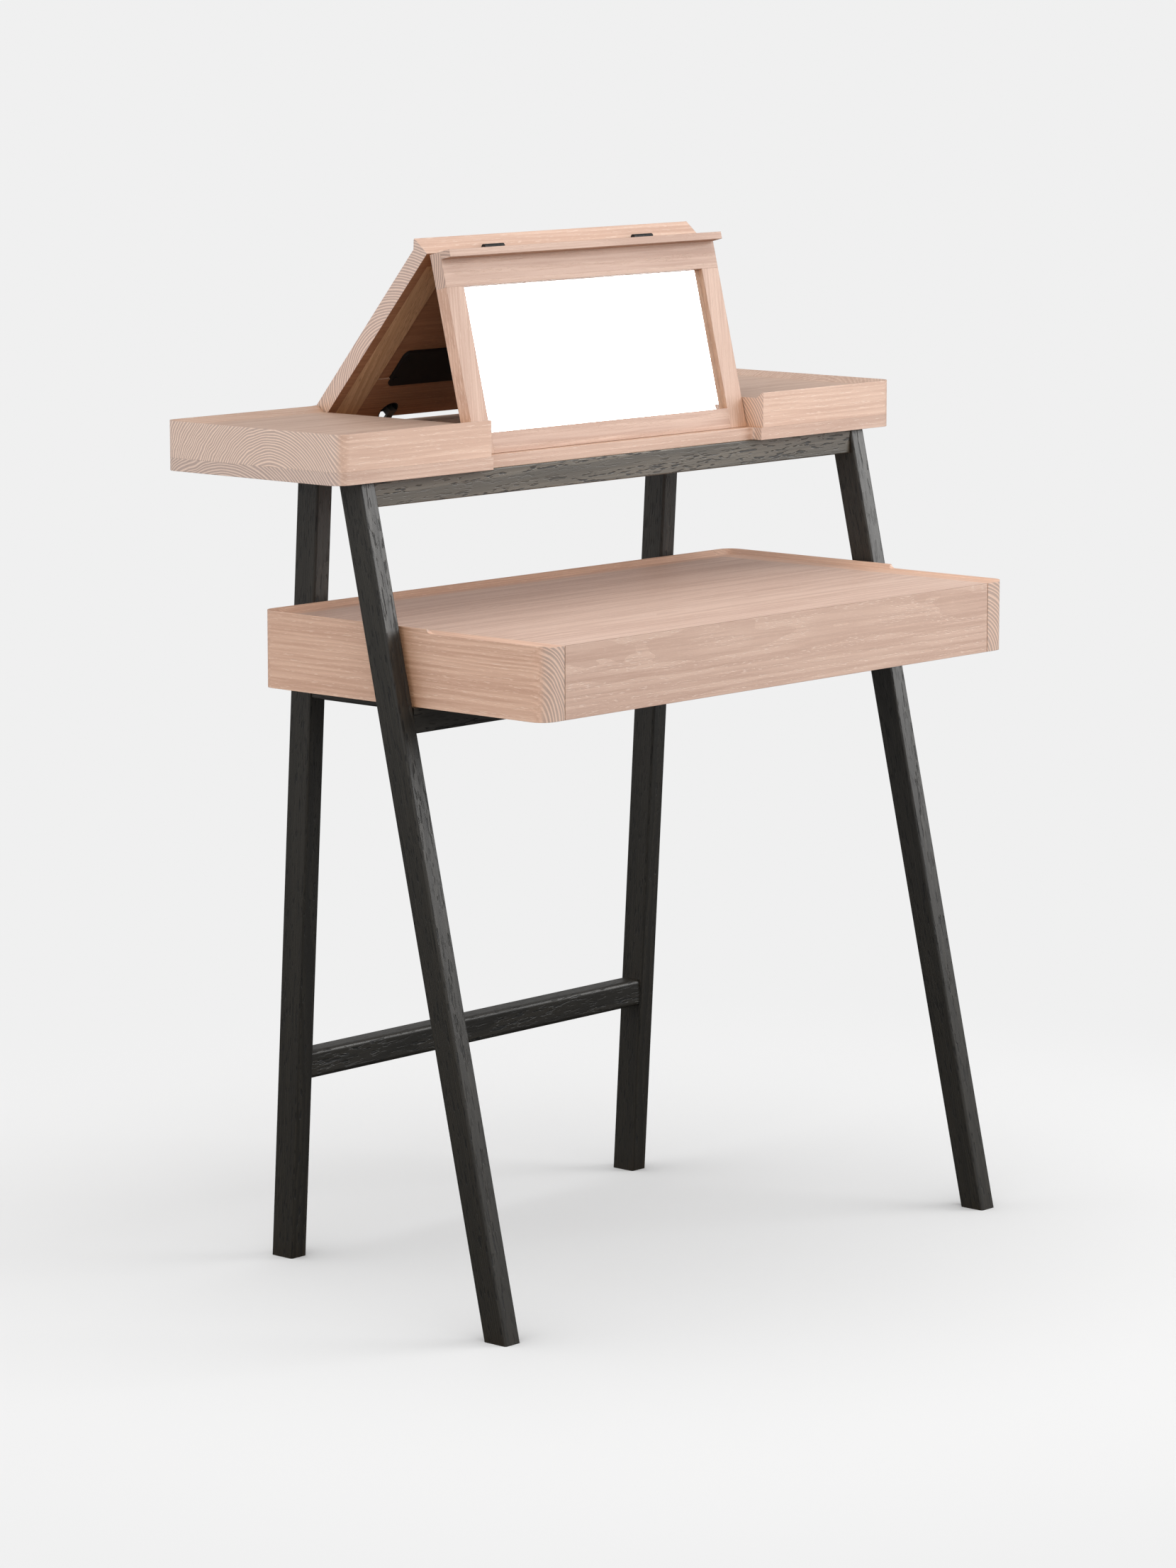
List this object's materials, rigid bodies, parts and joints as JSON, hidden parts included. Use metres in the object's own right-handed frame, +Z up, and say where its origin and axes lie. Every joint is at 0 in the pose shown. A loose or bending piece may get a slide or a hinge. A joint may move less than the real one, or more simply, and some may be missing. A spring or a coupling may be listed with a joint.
{
  "type": "tray desk",
  "caption": "Small standing desk box with a wide drawer on a leaning leg frame, under a raised tray shelf whose hinged middle lid props up on a fold-out mirror.",
  "frame": {"origin": "centre of the bounding box in plan, on the floor", "axes": "+X to the right seen from the front, +Y to the back, +Z up"},
  "size_m": [0.9286, 0.5024, 1.1467],
  "materials": {
    "oak": "whitened, oiled, matt",
    "black_ash": "black stain, open pores, matt",
    "beech_dowel": "untreated",
    "hinge_black": "black, satin",
    "hinge_steel": "zinc plated",
    "silvered_glass": "polished",
    "back_panel": "matt"
  },
  "bodies": {
    "frame": {"front_leg_left": "black_ash", "front_leg_right": "black_ash", "rear_leg_left": "black_ash", "rear_leg_right": "black_ash", "leg_dowels": "beech_dowel", "shelf_rail_front": "black_ash", "shelf_rail_rear": "black_ash", "desk_rail_front": "black_ash", "desk_rail_left": "black_ash", "desk_rail_right": "black_ash", "low_stretcher": "black_ash", "shelf_screws": "hinge_steel", "desk_screws": "hinge_steel", "desk_side_left": "oak", "desk_side_right": "oak", "desk_rear": "oak", "desktop": "oak", "desk_bottom": "oak", "runner_left": "beech_dowel", "runner_right": "beech_dowel", "shelf_board": "oak", "tray_block_left": "oak", "tray_block_right": "oak", "hinge_rail": "oak", "flap_hinge_brackets": "hinge_black", "flap_hinge_pins": "hinge_steel"},
    "lid": {"lid_board": "oak", "lid_batten_left": "oak", "lid_batten_right": "oak", "lid_plate": "hinge_black", "plate_screws": "hinge_black", "flap_hinge_cups": "hinge_black", "flap_hinge_arms": "hinge_steel", "butt_hinge_lid_leaves": "hinge_black", "butt_hinge_pins": "hinge_black"},
    "mirror": {"mirror_top_rail": "oak", "mirror_stile_left": "oak", "mirror_stile_right": "oak", "mirror_bottom_rail": "oak", "mirror_ledge": "oak", "mirror_glass": "silvered_glass", "mirror_back": "back_panel", "butt_hinge_mirror_leaves": "hinge_black"},
    "drawer": {"drawer_front": "oak", "drawer_side_left": "oak", "drawer_side_right": "oak", "drawer_back": "oak", "drawer_bottom": "oak"}
  },
  "joints": [
    {"name": "lid_lift", "type": "hinge", "parent": "frame", "child": "lid", "pos_m": [0, 0.23555, 0.9279], "axis": [-1, 0, 0], "range_deg": [0, 30]},
    {"name": "mirror_fold", "type": "hinge", "parent": "lid", "child": "mirror", "pos_m": [0, 0.06668, 1.13475], "axis": [1, 0, 0], "range_deg": [0, 53.4]},
    {"name": "drawer_slide", "type": "slide", "parent": "frame", "child": "drawer", "axis": [0, -1, 0], "range_m": [0, 0.25]}
  ],
  "couplings": [
    {"joint": "mirror_fold", "follows": "lid_lift", "ratio": 1.78}
  ]
}
